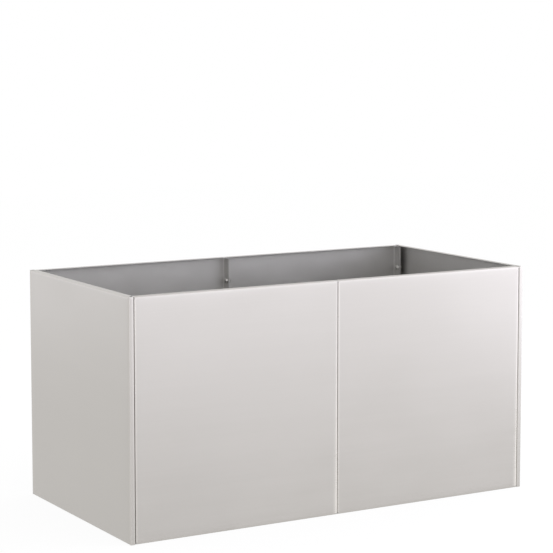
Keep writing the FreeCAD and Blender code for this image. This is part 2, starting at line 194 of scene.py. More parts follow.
def spaced(needed, wished=()):
    """Sorted grid lines: all the needed ones, wished ones that aren't too near them, and even fill."""
    marks = np.unique(np.round(needed, 6))
    for w in wished:
        if np.abs(marks - w).min() > 2 * EASING and marks[0] < w < marks[-1]:
            marks = np.sort(np.append(marks, w))
    pieces = [np.linspace(a, b, math.ceil((b - a) / FACE_GAP) + 1)[:-1] for a, b in zip(marks, marks[1:])]
    return np.concatenate([*pieces, marks[-1:]])


def blocks(middles, reach):
    """Grid lines through each middle, and at reach to both sides of it, for the square round a hole."""
    return [middle + d for middle in middles for d in (-reach, 0, reach)]


trial = spaced([0, HEIGHT, *blocks(BOLT_LEVELS, BOLT_BLOCK)])
print("a wall's height with its bolt holes takes %d grid lines" % len(trial))

# %% [markdown]
# ## Cutting the blank
#
# A laser cuts the blank: its outline with relief notches at the corners, and round holes. Here the blank is
# a grid of lines whose cells are kept or dropped, so each cut runs along a grid line and stays sharp. Round
# holes take a square block of cells out and put a ring of faces back. A Boolean modifier could cut the
# holes as well, but it leaves long thin faces beside them.

# %% Cut a blank
HOLE_POINTS = 32


def cut_blank(across, along, keep, holes=()):
    """The flat blank: grid cells where keep(u, v) is true, and a ring of faces round each hole.

    A hole is (u, v, radius, block). Its ring joins the 8 grid points on the edge of a square, block to
    each side of the middle, to points on the circle: middle + radius * (cos, sin) of equal angles.
    """
    u, v = np.meshgrid(across, along, indexing="ij")
    points = np.stack([u.ravel(), v.ravel()], axis=1)
    middle_u, middle_v = (across[1:] + across[:-1]) / 2, (along[1:] + along[:-1]) / 2
    cell_u, cell_v = np.meshgrid(middle_u, middle_v, indexing="ij")
    wanted = keep(cell_u, cell_v)
    for hu, hv, radius, block in holes:
        wanted &= (np.abs(cell_u - hu) > block) | (np.abs(cell_v - hv) > block)
    i, j = np.nonzero(wanted)
    rows = len(along)
    first = i * rows + j
    cells = np.stack([first, first + rows, first + rows + 1, first + 1], axis=1)
    rings = []
    angles = np.arange(HOLE_POINTS) * 2 * math.pi / HOLE_POINTS
    square = np.array([(1, 0), (1, 1), (0, 1), (-1, 1), (-1, 0), (-1, -1), (0, -1), (1, -1)])
    for hu, hv, radius, block in holes:
        near_u = np.abs(across[:, None] - (hu + block * square[:, 0])).argmin(axis=0)
        near_v = np.abs(along[:, None] - (hv + block * square[:, 1])).argmin(axis=0)
        outer = near_u * rows + near_v
        inner = len(points) + np.arange(HOLE_POINTS)
        points = np.concatenate([points, np.stack([hu + radius * np.cos(angles),
                                                   hv + radius * np.sin(angles)], axis=1)])
        share = HOLE_POINTS // len(square)
        eighth = (np.arange(len(square))[:, None] * share + np.arange(share, -1, -1)) % HOLE_POINTS
        rings.append(np.column_stack([outer, np.roll(outer, -1), inner[eighth]]))
    faces = [cells] + ([np.concatenate(rings)] if rings else [])
    used, renamed = np.unique(np.concatenate([f.ravel() for f in faces]), return_inverse=True)
    split = np.split(renamed.ravel(), np.cumsum([f.size for f in faces])[:-1])
    return points[used], [part.reshape(f.shape) for part, f in zip(split, faces)]


print("a round hole is a ring of %d points" % HOLE_POINTS)

# %% [markdown]
# ## Giving the blank its thickness
#
# The maker brushes the laser's burr off, so the cut edges are a little dull. The blank is laid down twice,
# one sheet apart, and its edges are closed by a narrow chamfer, the cut face and another chamfer. A Solidify
# modifier would close them with one square face, and the rim would look sharp.

# %% Thicken a blank
def thicken(points, faces):
    """Gives the blank its thickness and dulls its cut edges with a small chamfer.

    The outer layer and the inner layer are the blank itself, drawn in by EASING at a cut edge, and two
    rings in between stand at the true edge. At a corner the draw-in is the sum of both edges'
    outward normals, times 2 and divided by its own squared length, which keeps both edges parallel.
    """
    count = len(points)
    sides = np.concatenate([np.stack([f, np.roll(f, -1, axis=1)], axis=-1).reshape(-1, 2)
                            for f in faces])
    single = ~np.isin(sides[:, 0] * count + sides[:, 1], sides[:, 1] * count + sides[:, 0])
    a, b = sides[single].T
    way = points[b] - points[a]
    normal = np.stack([way[:, 1], -way[:, 0]], axis=1) / np.hypot(*way.T)[:, None]
    total = np.zeros_like(points)
    np.add.at(total, a, normal)
    np.add.at(total, b, normal)
    length = (total ** 2).sum(axis=1, keepdims=True)
    eased = points - EASING * 2 * total / np.where(length > 0, length, 1)
    edge = np.unique(a)
    slot_of = np.zeros(count, int)
    slot_of[edge] = np.arange(len(edge))
    flat = np.concatenate([eased, points[edge], points[edge], eased])
    depth = np.concatenate([np.zeros(count), np.full(len(edge), EASING),
                            np.full(len(edge), SHEET - EASING), np.full(count, SHEET)])
    first, second, last = count, count + len(edge), count + 2 * len(edge)
    rings = [(a, b), (first + slot_of[a], first + slot_of[b]),
             (second + slot_of[a], second + slot_of[b]), (last + a, last + b)]
    walls = [np.column_stack([near[1], near[0], far[0], far[1]]) for near, far in zip(rings, rings[1:])]
    outside, inside = list(faces), [last + f[:, ::-1] for f in faces]
    return flat, depth, outside, inside + walls


print("cut edges are dulled by %.2f mm" % EASING)

# %% [markdown]
# ## From arrays to a mesh
#
# One function writes every mesh. It turns the millimetres into metres, lays the blank's own coordinates down
# as a UV map, so that a brushed grain runs along the sheet and round its bends, and marks edges sharper
# than 30 degrees. It also measures the signed volume, which is positive only if all faces look outwards.

# %% Write a mesh
SHARP_ANGLE = 30.0


def signed_volume(points, faces):
    """Sum over fans of triangles of a . (b x c) / 6."""
    total = 0.0
    for f in faces:
        for k in range(1, f.shape[1] - 1):
            a, b, c = points[f[:, 0]], points[f[:, k]], points[f[:, k + 1]]
            total += (a * np.cross(b, c)).sum() / 6
    return total


def write_piece(name, points, coats, flat, highlight_and_polish):
    """Makes an object from points in mm.

    coats lists (faces, material) pairs, flat is each point's place on the blank, and the last argument says
    how much painted highlight and polish each point gets. Faces are turned over if the signed volume comes
    out negative.
    """
    volume = signed_volume(points, [f for faces, _ in coats for f in faces])
    mesh = bpy.data.meshes.new(name)
    order = [f if volume > 0 else f[:, ::-1] for faces, _ in coats for f in faces]
    mesh.from_pydata((points * MM).tolist(), [], [face for f in order for face in f.tolist()])
    for _, material in coats:
        mesh.materials.append(material)
    index = np.concatenate([np.full(sum(map(len, faces)), k) for k, (faces, _) in enumerate(coats)])
    mesh.polygons.foreach_set("material_index", index.astype(np.int32))
    mesh.polygons.foreach_set("use_smooth", np.ones(len(index), bool))
    corner = np.zeros(len(mesh.loops), np.int32)
    mesh.loops.foreach_get("vertex_index", corner)
    layer = mesh.uv_layers.new(name="blank")
    layer.uv.foreach_set("vector", (flat[corner] * MM).astype(np.float32).ravel())
    # each point's painted highlight (a lighter colour) and polish (a lower roughness), for the shader
    mark = mesh.attributes.new("highlight_and_polish", "FLOAT", "POINT")
    mark.data.foreach_set("value", highlight_and_polish.astype(np.float32))
    mesh.set_sharp_from_angle(angle=math.radians(SHARP_ANGLE))
    mesh.validate()
    piece = bpy.data.objects.new(name, mesh)
    bpy.context.scene.collection.objects.link(piece)
    return piece, abs(volume)


print("edges over %d degrees stay sharp" % SHARP_ANGLE)

# %% [markdown]
# ## Taking over from the CAD piece
#
# A finished piece stands for one CAD piece: it rides on the same body and hides that piece. Its box is
# compared with the CAD piece's box, because a piece that is a millimetre out would no longer meet its
# neighbours. Some pieces are made half a turn round the upright axis from their place, and each sheet has its
# own stretch of grain, so that no two look alike.

# %% Put a piece in place
GRAIN_SHIFT = np.array([1300, 700])            # mm along and across, for each unit of a piece's phase


def stand_for(piece, node, slot):
    """The piece takes over from its CAD node, and its box is compared with the node's."""
    piece.name = node + ("_turned" if slot == "fastener_steel" else "_sheet")
    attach(piece, "root")
    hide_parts(node)
    points = np.zeros(len(piece.data.vertices) * 3, np.float32)
    piece.data.vertices.foreach_get("co", points)
    points = points.reshape(-1, 3)
    low, high = (np.array(c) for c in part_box(node))
    off = max(np.abs(points.min(axis=0) - low).max(), np.abs(points.max(axis=0) - high).max())
    print("%-34s %6d faces, box off its CAD piece by %.3f mm"
          % (piece.name, len(piece.data.polygons), off / MM))


def turned_about(points, at, half_turn):
    """Turns points half a turn about Z if asked, then moves them."""
    facing = np.array([-1, -1, 1]) if half_turn else 1
    return points * facing + np.array(at, float)


def finish_sheet(node, points, coats, flat, highlight_and_polish, phase, slot, at=(0, 0, 0), half_turn=False):
    """Turns and moves a folded sheet, writes it and puts it in place of its node."""
    piece, volume = write_piece(node, turned_about(points, at, half_turn), coats,
                                flat + GRAIN_SHIFT * phase, highlight_and_polish)
    stand_for(piece, node, slot)
    return volume


print("nodes to stand for:", len(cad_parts))

# %% [markdown]
# ## Shader nodes
#
# A procedural finish is a graph of nodes. These helpers add one node at a time and link what goes into it,
# which keeps a graph readable as a line of text. Noise stretched along one direction makes streaks, as an
# abrasive belt does. An image of brushed steel would look right too, but only at one scale.

# %% Wire shader nodes
def new_finish(name):
    """A new material and its tree of nodes."""
    material = bpy.data.materials.new(name)
    material.use_nodes = True
    return material, material.node_tree


def add(tree, kind, inputs=None, **settings):
    """Adds a shader node, sets its settings, and fills or links its inputs."""
    made = tree.nodes.new(kind)
    for key, value in settings.items():
        setattr(made, key, value)
    for key, value in (inputs or {}).items():
        if isinstance(value, bpy.types.NodeSocket):
            tree.links.new(value, made.inputs[key])
        else:
            made.inputs[key].default_value = value
    return made


def streaks(tree, where, size, offset):
    """Noise stretched into streaks: size gives how often it changes per metre along and across."""
    moved = add(tree, "ShaderNodeMapping",
                {"Vector": where, "Location": (offset, offset, offset), "Scale": size})
    noise = add(tree, "ShaderNodeTexNoise",
                {"Vector": moved.outputs[0], "Scale": 1.0, "Detail": 3.0, "Roughness": 0.6})
    return noise.outputs["Fac"]


def between(tree, value, low, high, start=0.25, end=0.75):
    """Maps a value that runs from start to end, as most of a noise does, to low and high."""
    made = add(tree, "ShaderNodeMapRange",
               {"Value": value, "From Min": start, "From Max": end, "To Min": low, "To Max": high})
    return made.outputs[0]


def maths(tree, operation, *values):
    """Joins values by one operation, such as a sum: the first two, then the result and the third."""
    total = values[0]
    for value in values[1:]:
        total = add(tree, "ShaderNodeMath", {0: total, 1: value}, operation=operation).outputs[0]
    return total


def tint(tree, colour, amount):
    """A colour made lighter or darker by a factor."""
    return add(tree, "ShaderNodeVectorMath", {0: colour, "Scale": amount}, operation="SCALE").outputs[0]


print("node helpers:", *(h.__name__ for h in (new_finish, add, streaks, between, maths, tint)))

# %% [markdown]
# ## Finishes
#
# The outside is a satin finish: an abrasive belt leaves fine straight scratches along the sheet. The back of
# the same sheet and the base are mill finish, dull and a little cloudy. Bare steel is all reflection, so
# its colour is set as the colour of a metal, and the scratches make the roughness and a very low bump.
# Along a bend the colour is painted lighter, a painted highlight, and the steel is a little smoother, a
# polish. The long scratches also stretch the
# reflections sideways, which the shader's anisotropy does along the blank's UV map.

# %% Mix the finishes
NOISE_SHIFT = 3.7             # keeps the layers of one grain apart
HIGHLIGHT_LIMIT, HIGHLIGHT_TONE = 4.0, 1.72                # the most painted highlight a place gets, and how much lighter its colour is painted then
RUB_SMOOTHING = 0.06          # how much less rough, for the polish, a place is once its bend value reaches 1
SATIN_COLOUR, MILL_COLOUR, TURNED_COLOUR = (0.492, 0.472, 0.445), (0.60, 0.59, 0.575), (0.56, 0.55, 0.53)


def steel(name, colour, roughness, grain, on_sheet=True):
    """A bare steel. Each layer of its grain is noise that changes the tone, the roughness and the height.

    A layer is (how often it changes per metre along, across and up), then by how much it changes the tone
    and the roughness, and the height of its bump in metres. Tones multiply, and the others add up.
    """
    material, tree = new_finish(name)
    shader = tree.nodes["Principled BSDF"]
    where = (add(tree, "ShaderNodeUVMap", uv_map="blank").outputs[0] if on_sheet
             else add(tree, "ShaderNodeTexCoord").outputs["Object"])
    tones, changes, heights = [], [], []
    for k, (size, tone_change, rough_change, bump) in enumerate(grain):
        noise = streaks(tree, where, size, NOISE_SHIFT * k)
        tones.append(between(tree, noise, 1 - tone_change, 1 + tone_change))
        changes.append(between(tree, noise, -rough_change, rough_change))
        if bump:
            heights.append(maths(tree, "MULTIPLY", noise, bump))
    if on_sheet:
        # painted highlight: the colour is made lighter along the bends; the roughness drop is the polish
        bright = add(tree, "ShaderNodeAttribute", attribute_name="highlight_and_polish").outputs["Fac"]
        tones.append(between(tree, bright, 1.0, HIGHLIGHT_TONE, 0, HIGHLIGHT_LIMIT))
        changes.append(between(tree, bright, 0.0, -RUB_SMOOTHING, 0, 1))
    raised = add(tree, "ShaderNodeBump",
                 {"Height": maths(tree, "ADD", *heights), "Distance": 1.0, "Strength": 1.0})
    shader.inputs["Metallic"].default_value = 1.0
    tree.links.new(tint(tree, colour, maths(tree, "MULTIPLY", *tones)), shader.inputs["Base Color"])
    tree.links.new(maths(tree, "ADD", *changes, roughness), shader.inputs["Roughness"])
    tree.links.new(raised.outputs[0], shader.inputs["Normal"])
    return material


satin = steel("satin_finish", SATIN_COLOUR, 0.36, [
    ((14, 2600, 1), 0.015, 0.04, 2.0e-6),      # fine scratches
    ((5, 420, 1), 0.010, 0.02, 1.0e-6),        # coarse scratches
    ((1.2, 45, 1), 0.008, 0.01, 0),            # the belt's passes
    ((7, 9, 1), 0.004, 0.03, 0)])              # clouds
satin_shader = satin.node_tree.nodes["Principled BSDF"]
satin_shader.inputs["Anisotropic"].default_value = 0.4
satin_shader.inputs["Anisotropic Rotation"].default_value = 0.25
along_grain = add(satin.node_tree, "ShaderNodeTangent", direction_type="UV_MAP", uv_map="blank")
satin.node_tree.links.new(along_grain.outputs[0], satin_shader.inputs["Tangent"])
mill = steel("mill_finish", MILL_COLOUR, 0.44, [
    ((60, 900, 1), 0.02, 0.03, 1.5e-6),        # marks of the rolls
    ((25, 30, 1), 0.02, 0.03, 0),              # small clouds
    ((4, 6, 1), 0.02, 0.015, 0)])              # large clouds
fastener = steel("turned_finish", TURNED_COLOUR, 0.30, [
    ((900, 900, 900), 0.03, 0.05, 2.0e-6),
    ((150, 150, 150), 0.04, 0.06, 0)], on_sheet=False)
print("finishes:", satin.name, mill.name, fastener.name)

# %% [markdown]
# ## What all panels share
#
# All six panels have the same height, the same rim and foot, and the same bolt holes along their flanges.
# Sheet as large as this is never quite flat, so its middle draws in by a few tenths of a millimetre. The
# dish and the roll into the bends are added to the depth before the sheet is folded, because they belong
# to the sheet and not to the finished box.

# %% Values and helpers for panels
RIM_EDGE = RIM - BEND + BEND * math.pi / 2 + HEIGHT - BEND         # v there, if v is z on the upright face
PANEL_LEVELS = RIM_EDGE - upright_section["edges"]     # rim edge, its bend, the face, its bend, foot edge
DISH = 0.3                    # how far the middle of a panel draws in
RIPPLE = 0.35                 # how much of that comes and goes along the face
RIM_HIGHLIGHT = 0.35                # how much painted highlight and polish the rim gets, where 1 is a bend between two wall panels


def dished(across, half_width, up, phase):
    """Depth of the dish: a bell over the face, 1 in the middle and 0 at all four folds, and a ripple."""
    x = np.clip(across / half_width, -1, 1)
    z = np.clip((up - HEIGHT / 2) / (HEIGHT / 2 - FOLD_ZONE), -1, 1)
    bell = (1 - x ** 2) ** 2 * (1 - z ** 2) ** 2
    ripple = 1 + RIPPLE * np.sin(5 * x + phase) * np.cos(4 * z - phase)
    return DISH * bell * ripple


def fold_both_ways(section, u, v, depth, free, phase):
    """The points in plan, if the section bends u, and from the side, if the upright section bends v.

    First the dish is added to the depth, and the roll into the bends: the root of the sum of the squares
    of both sections' rolls.
    """
    s, fall = u + section["reach"] / 2, RIM_EDGE - v
    rolled = np.hypot(section["drawn"](s), upright_section["drawn"](fall))
    depth = depth + dished(u, free, v, phase) + rolled
    return section["place"](s, depth), upright_section["place"](fall, depth)


def panel_highlight_and_polish(v, folded, seams):
    """How much painted highlight and polish a panel gets: seams gives it where no rim or foot is folded, and
    the rim adds its own.
    """
    rim = np.where(v > HEIGHT / 2, RIM_HIGHLIGHT * upright_section["highlight_and_polish"](RIM_EDGE - v), 0)
    return np.maximum(rim, np.where(folded, 0, seams))


def bolt_holes(hole_u):
    """Each bolt hole of a panel's two seam flanges: its u and v, its radius and its block."""
    return [(side * hole_u, level, BOLT_HOLE, BOLT_BLOCK) for side in (-1, 1) for level in BOLT_LEVELS]


print("bolts at heights", BOLT_LEVELS)

# %% [markdown]
# ## Wall panels
#
# Each long wall is two equal panels. The folder turns all four edges of the blank inwards: two upright
# flanges with bolt holes, the rim along the top, and the foot that the box stands on. The right edge of
# each panel gets a painted highlight, stronger and in a wider band towards the foot.

# %% Make the wall panels
LIP_GAP = 0.4                 # a rim and a foot stop this far from the next panel
FOOT_REACH = 5.0              # how much wider the painted highlight on the right edge reaches at the foot than at the rim
RIM_SHARE, FOOT_SHARE = 0.2, 4.0               # how strong the painted highlight on that edge is at the rim and at the foot


def make_wall_panel(node, at, half_turn, phase):
    """u runs along the wall and v up it. Between the folds the section bends u, and beyond them v.

    The right edge gets a painted highlight of nearness * (RIM_SHARE + (FOOT_SHARE - RIM_SHARE) * down), where
    down goes from 0 at the rim to 1 at the foot, and the reach of the nearness grows with it.
    """
    half = wall_section["reach"] / 2
    hole_u = half - SEAM_FLANGE + BOLT_INSET
    free = HALF_WALL / 2 - BEND                                    # where the upright bends begin
    lip_end = HALF_WALL / 2 - LIP_GAP
    across = spaced([*(wall_section["edges"] - half), -lip_end, lip_end,
                     *blocks((-hole_u, hole_u), BOLT_BLOCK)],
                    [*(wall_section["facets"] - half), free - HIGHLIGHT_REACH - FOOT_REACH])
    along = spaced([*PANEL_LEVELS, FLANGE_LOW - RELIEF_SLIT, FLANGE_LOW, FLANGE_HIGH,
                    FLANGE_HIGH + RELIEF_SLIT, *blocks(BOLT_LEVELS, BOLT_BLOCK)],
                   RIM_EDGE - upright_section["facets"])

    def keep(u, v):
        past = np.maximum(v - FLANGE_HIGH, FLANGE_LOW - v)         # how far into the zone of a fold
        return np.abs(u) < np.where(past < 0, half, np.where(past < RELIEF_SLIT, free, lip_end))

    flat, depth, outside, inside = thicken(*cut_blank(across, along, keep, bolt_holes(hole_u)))
    u, v = flat.T
    plan, side_view = fold_both_ways(wall_section, u, v, depth, free, phase)
    folded = (v > FLANGE_HIGH) | (v < FLANGE_LOW)
    points = np.where(folded[:, None], np.column_stack([u, side_view]), np.column_stack([plan, v]))
    down = np.clip(1 - v / HEIGHT, 0, 1)
    # painted highlight along the seam bends, stronger and wider on the right edge towards the foot
    left, right = wall_section["beside"](u + half, HIGHLIGHT_REACH + FOOT_REACH * down * (u > 0))
    seams = np.maximum(left, right * (RIM_SHARE + (FOOT_SHARE - RIM_SHARE) * down))
    return finish_sheet(node, points, [(outside, satin), (inside, mill)], flat,
                        panel_highlight_and_polish(v, folded, seams), phase, "satin_stainless", at, half_turn)


walls = [make_wall_panel("front_panel_left", (-HALF_WALL / 2, -DEPTH / 2, 0), False, 0.7),
         make_wall_panel("front_panel_right", (HALF_WALL / 2, -DEPTH / 2, 0), False, 2.1),
         make_wall_panel("back_panel_left", (-HALF_WALL / 2, DEPTH / 2, 0), True, 3.9),
         make_wall_panel("back_panel_right", (HALF_WALL / 2, DEPTH / 2, 0), True, 5.2)]
print("steel in a wall panel: %.0f mm3" % walls[0])

# %% [markdown]
# ## End panels
#
# An end panel wraps both corners with a rounder bend, lies on the long wall for 10 mm and turns in again as
# the seam flange. Slits beside the corner bends free the rim and the foot, and their ends are cut back on
# a slant so that they clear the long walls' rims. The slant is made by squeezing the last grid columns.

# %% Make the end panels
STRIP_HIGHLIGHT = 0.4               # the most painted highlight and polish that a bend of an end panel gets
FOLD_CLEARANCE = 1            # between a long wall's rim or foot and the slanted end beside it


def slant_ends(points, free, slit):
    """Moves the ends of the rim and the foot from free, where they meet the face, back to the clearance.

    Columns between still and free are squeezed evenly, to still + (a - still) * (limit - still)
    / (free - still), where limit is the slanted end at that height.
    """
    wide = DEPTH / 2
    still = wide - 2 * FOOT
    for beyond, width in ((points[:, 1] - PANEL_LEVELS[1], RIM), (PANEL_LEVELS[4] - points[:, 1], FOOT)):
        share = np.clip(beyond / (CORNER_STRIP - BEND), 0, 1)
        limit = free - share * (free - (wide - width - FOLD_CLEARANCE))
        a = np.abs(points[:, 0])
        squeezed = still + (a - still) * (limit - still) / (free - still)
        moved = (a > still) & (a < (free + slit) / 2) & (beyond > 0)
        points[:, 0] = np.where(moved, np.sign(points[:, 0]) * squeezed, points[:, 0])
    return points


def make_end_panel(node, at, half_turn, phase):
    """u runs round the box, from the back to the front, and v up it."""
    strip, wide = CORNER_STRIP, DEPTH / 2
    section = folded_line([(strip, wide - SEAM_FLANGE), (strip, wide), (0, wide), (0, -wide), (strip, -wide),
                           (strip, SEAM_FLANGE - wide)], [BEND, CORNER_BEND, CORNER_BEND, BEND])
    half = section["reach"] / 2
    slit = wide - CORNER_BEND                                      # the slit's far side
    free = slit - RELIEF_SLIT                                      # the fold's end
    hole_u = half - SEAM_FLANGE + BOLT_INSET
    trimmed = half - SEAM_FLANGE + CORNER_BEND                     # the flange is full height up to here
    kinks = [PANEL_LEVELS[1] + strip - BEND, PANEL_LEVELS[4] - strip + BEND]
    across = spaced([*(section["edges"] - half), *blocks((-hole_u, hole_u), BOLT_BLOCK),
                     *[c * d for c in (free, slit, trimmed) for d in (-1, 1)]], section["facets"] - half)
    along = spaced([*PANEL_LEVELS, 0, FLANGE_LOW, FLANGE_HIGH, HEIGHT, *kinks,
                    *blocks(BOLT_LEVELS, BOLT_BLOCK)], RIM_EDGE - upright_section["facets"])

    def keep(u, v):
        a = np.abs(u)
        corner = (a > slit) & (a < trimmed) & (v > 0) & (v < HEIGHT)
        return ((v > FLANGE_LOW) & (v < FLANGE_HIGH)) | corner | (a < free)

    points, faces = cut_blank(across, along, keep, bolt_holes(hole_u))
    flat, depth, outside, inside = thicken(slant_ends(points, free, slit), faces)
    u, v = flat.T
    plan, side_view = fold_both_ways(section, u, v, depth, free, phase)
    folded = ((v > FLANGE_HIGH) | (v < FLANGE_LOW)) & (np.abs(u) < (free + slit) / 2)
    points = np.where(folded[:, None], np.column_stack([side_view[:, 0], -u, side_view[:, 1]]),
                      np.column_stack([plan, v]))
    # painted highlight and polish along the end panel's bends, held down at the strips
    seams = np.minimum(section["highlight_and_polish"](u + half), STRIP_HIGHLIGHT)
    return finish_sheet(node, points, [(outside, satin), (inside, mill)], flat,
                        panel_highlight_and_polish(v, folded, seams), phase, "satin_stainless", at, half_turn)


ends = [make_end_panel("end_panel_left", (-LENGTH / 2, 0, 0), False, 1.3),
        make_end_panel("end_panel_right", (LENGTH / 2, 0, 0), True, 4.4)]
print("steel in an end panel: %.0f mm3" % ends[0])

# %% [markdown]
# ## The base pans
#
# Two pans lie side by side in the bottom. Their edges are turned down and stand on the feet of the panels,
# with notched corners that clear the seam flanges and nine drain holes each. One function makes both,
# and turns the left one half a turn.

# %% Make the pans
BASE_TOP, BASE_LOW = 26.2, 1.2                 # the top of the base, and the feet that it stands on
WALL_GAP = 3                  # from the pans to the outside of the box
PAN_X, PAN_Y = LENGTH / 2 - WALL_GAP, DEPTH / 2 - WALL_GAP
PAN_START = 0.5               # half the gap between the pans
FLANGE_GAP = 1                # from a seam flange to what is notched for it
NOTCH_X, NOTCH_Y = SHEET + FLANGE_GAP, DEPTH / 2 - SEAM_FLANGE - FLANGE_GAP
PAN_SHOULDER, PAN_END = 16.0, HALF_WALL - NOTCH_X              # the side edges run from here to here
DRAIN, DRAIN_BLOCK = 5.0, 9   # radius, and half the square of grid cells round a drain hole


def make_base_pan(node, half_turn, phase):
    """u runs to the end of the box and v across it. The end edge bends u, and the side edges bend v."""
    length_section = folded_line([(PAN_START, BASE_TOP), (PAN_X, BASE_TOP), (PAN_X, BASE_LOW)], [BEND])
    width_section = folded_line([(-PAN_Y, BASE_LOW), (-PAN_Y, BASE_TOP), (PAN_Y, BASE_TOP),
                                 (PAN_Y, BASE_LOW)], [BEND, BEND])
    half = width_section["reach"] / 2
    drains_u, drains_v = [PAN_X * a for a in (0.15, 0.5, 0.85)], [PAN_Y * b for b in (-0.6, 0, 0.6)]
    drains = [(a, b, DRAIN, DRAIN_BLOCK) for a in drains_u for b in drains_v]
    across = spaced([*(length_section["edges"] + PAN_START), PAN_SHOULDER, PAN_END,
                     *blocks(drains_u, DRAIN_BLOCK)], length_section["facets"] + PAN_START)
    along = spaced([*(width_section["edges"] - half), -NOTCH_Y, NOTCH_Y, *blocks(drains_v, DRAIN_BLOCK)],
                   width_section["facets"] - half)

    def keep(u, v):
        return (np.abs(v) < NOTCH_Y) | ((u > PAN_SHOULDER) & (u < PAN_END))

    flat, depth, outside, inside = thicken(*cut_blank(across, along, keep, drains))
    u, v = flat.T
    end_view = length_section["place"](u - PAN_START, depth)
    side_view = width_section["place"](v + half, depth)
    folded = u > PAN_X - BEND
    points = np.where(folded[:, None], np.column_stack([end_view[:, 0], v, end_view[:, 1]]),
                      np.column_stack([u, side_view]))
    # painted highlight and polish along the pan's bends
    highlight_and_polish = np.where(folded, length_section["highlight_and_polish"](u - PAN_START), width_section["highlight_and_polish"](v + half))
    return finish_sheet(node, points, [(outside + inside, mill)], flat, highlight_and_polish, phase, "mill_stainless",
                        half_turn=half_turn)


pans = [make_base_pan("base_pan_left", True, 6.1), make_base_pan("base_pan_right", False, 7.3)]
print("steel in a pan: %.0f mm3" % pans[0])

# %% [markdown]
# ## The rail and the cross tie
#
# A channel under the joint of the pans carries it. A smaller channel on edge joins the middles of the two
# long walls, so that they don't bow, and is bolted to the middle seams' flanges at half height. Both are
# straight, so one function folds their section and only the cuts differ: slots for the seam flanges at the
# ends of the rail, and bolt holes in the tie.

# %% Make the rail and the tie
RAIL_HALF, RAIL_TOP = 15, 25                   # half the rail's width, and its top
TIE_HALF, TIE_LEG = 15, 13.2                   # half the tie's height, and how far its legs reach in x
TIE_LEVEL = BOLT_LEVELS[1]
BOLT_LINE = DEPTH / 2 - BOLT_INSET


def make_channel(node, corners, phase, slot_half=0, holes=()):
    """A straight channel along y: its section bends u, and v is y.

    Slots from both ends run in to NOTCH_Y, and are twice slot_half wide.
    """
    section = folded_line(corners, [BEND, BEND])
    half = section["reach"] / 2
    across = spaced([*(section["edges"] - half), -slot_half, slot_half,
                     *(blocks([0], BOLT_BLOCK) if holes else [])], section["facets"] - half)
    along = spaced([-PAN_Y, PAN_Y, *([-NOTCH_Y, NOTCH_Y] if slot_half else []),
                    *blocks([hole[1] for hole in holes], BOLT_BLOCK)])

    def keep(u, v):
        return (np.abs(u) >= slot_half) | (np.abs(v) <= NOTCH_Y)

    flat, depth, outside, inside = thicken(*cut_blank(across, along, keep, holes))
    u, v = flat.T
    view = section["place"](u + half, depth)
    # the last value is the painted highlight and polish along the channel's bends
    return finish_sheet(node, np.column_stack([view[:, 0], v, view[:, 1]]), [(outside + inside, mill)], flat,
                        section["highlight_and_polish"](u + half), phase, "mill_stainless")


rail = make_channel("base_rail", [(RAIL_HALF, BASE_LOW), (RAIL_HALF, RAIL_TOP), (-RAIL_HALF, RAIL_TOP),
                                  (-RAIL_HALF, BASE_LOW)], 8.2, slot_half=NOTCH_X)
tie = make_channel("cross_tie", [(TIE_LEG, TIE_LEVEL + TIE_HALF), (SHEET, TIE_LEVEL + TIE_HALF),
                                 (SHEET, TIE_LEVEL - TIE_HALF), (TIE_LEG, TIE_LEVEL - TIE_HALF)], 9.4,
                   holes=[(0, y, BOLT_HOLE, BOLT_BLOCK) for y in (-BOLT_LINE, BOLT_LINE)])
print("steel in the rail and the tie: %.0f and %.0f mm3" % (rail, tie))

# %% [markdown]
# ## Turned parts
#
# Turned parts are profiles carried round an axis. Where the part is a hexagon, the radius follows the
# angle: half the width across the flats, divided by the cosine of the angle from the middle of a flat. A
# thread is a wave in the radius that moves on by one pitch in each turn. A Screw modifier could cut the
# thread too, but its ends would have to be closed by hand.

# %% Carry a profile round an axis
AROUND = 48
ANGLES = np.arange(AROUND) * 2 * math.pi / AROUND
PITCH = 0.8


def hexagon_radius(flats):
    """Half the flats over the cosine of the angle from the nearest flat's middle."""
    from_flat = (ANGLES + math.pi / 6) % (math.pi / 3) - math.pi / 6
    return flats / 2 / np.cos(from_flat)


def thread(x, radius, depth, fade):
    """The radius along a thread: a flattened wave, depth deep, that moves on by PITCH in each turn."""
    wave = np.clip(0.5 + 0.8 * np.cos(2 * math.pi * x[:, None] / PITCH - ANGLES), 0, 1)
    return radius + depth * wave * fade[:, None]


def swept(rows):
    """Carries rows of (x, radius), a radius being a number or one for each angle, round the x axis."""
    x = np.stack([np.broadcast_to(row[0], AROUND) for row in rows]).astype(float)
    radius = np.stack([np.broadcast_to(row[1], AROUND) for row in rows]).astype(float)
    return np.stack([x, radius * np.cos(ANGLES), radius * np.sin(ANGLES)], axis=-1).reshape(-1, 3)


def arc(centre_x, centre_r, radius, start, end, count):
    """Points of an arc in the (x, radius) plane, angles in degrees from the +x direction."""
    turn = np.radians(np.linspace(start, end, count))
    return list(zip(centre_x + radius * np.cos(turn), centre_r + radius * np.sin(turn)))


def grid_faces(rows, closed):
    """Quads between neighbouring rows and angles. A closed profile also joins its last row to its first."""
    i, k = np.meshgrid(np.arange(rows if closed else rows - 1), np.arange(AROUND), indexing="ij")
    here, up = i * AROUND, (i + 1) % rows * AROUND
    after = (k + 1) % AROUND
    return np.stack([here + k, here + after, up + after, up + k], axis=-1).reshape(-1, 4)


print("a turned part has %d points round its axis" % AROUND)

# %% [markdown]
# ## Profiles of the bolts, washers and nuts
#
# The bolts are button heads with a hexagon socket, because a smooth round head doesn't snag what is put
# into the box. A punched washer is round at the edge where the punch went in. A flange nut needs no second
# washer. Each profile is a list of (x, radius), along the axis from the head to the nut, and x is 0 where
# the two flanges meet.

# %% Shape the bolts, washers and nuts
SEAT = -(SHEET + 1)           # the bolt head sits on a 1 mm washer, which lies on the first flange


